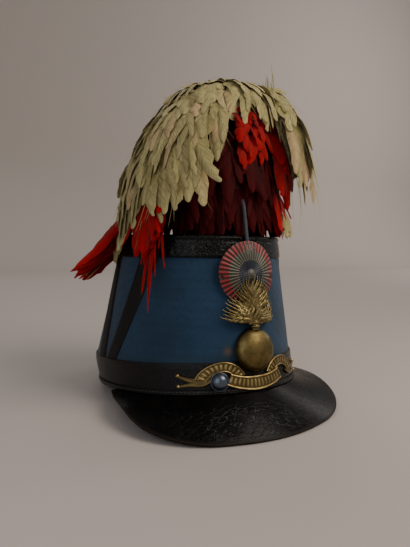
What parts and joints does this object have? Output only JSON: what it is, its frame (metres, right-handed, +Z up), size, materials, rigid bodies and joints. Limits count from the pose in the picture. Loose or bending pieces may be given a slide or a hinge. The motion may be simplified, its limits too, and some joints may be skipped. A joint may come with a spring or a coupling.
{
  "type": "shako hat",
  "caption": "Rigid cloth and leather shako with a drooping visor, ribbed cockade, flaming grenade badge with scroll, and a falling feather plume on a wire stem.",
  "frame": {"origin": "middle of the box on the surface that the hat stands on, under the body", "axes": "+Z up, -Y towards the front of the hat where the visor is, -X towards the wearer's right"},
  "size_m": [0.1972, 0.2358, 0.2666],
  "materials": {
    "cloth": "matte felted wool cloth",
    "band_leather": "worn black leather, soft gloss",
    "patent_leather": "glossy blacked leather with scratches",
    "strap_leather": "worn black leather, nearly matte",
    "painted_tin": "pressed tin painted in rings, chipped",
    "brass": "cast brass, tarnished",
    "button_metal": "dark glossy dome",
    "stem_wire": "blackened wire",
    "feather": "soft white and red feathers"
  },
  "bodies": {
    "root": {"crown": "cloth", "visor": "patent_leather", "cockade": "painted_tin", "grenade": "brass", "ribbon": "brass", "button": "button_metal", "plume_stem": "stem_wire", "plume": "feather", "base_band": "band_leather", "base_welt": "band_leather", "top_band": "band_leather", "top_disc": "band_leather", "strap_right_front": "strap_leather", "strap_right_rear": "strap_leather", "strap_left_front": "strap_leather", "strap_left_rear": "strap_leather"}
  },
  "joints": []
}
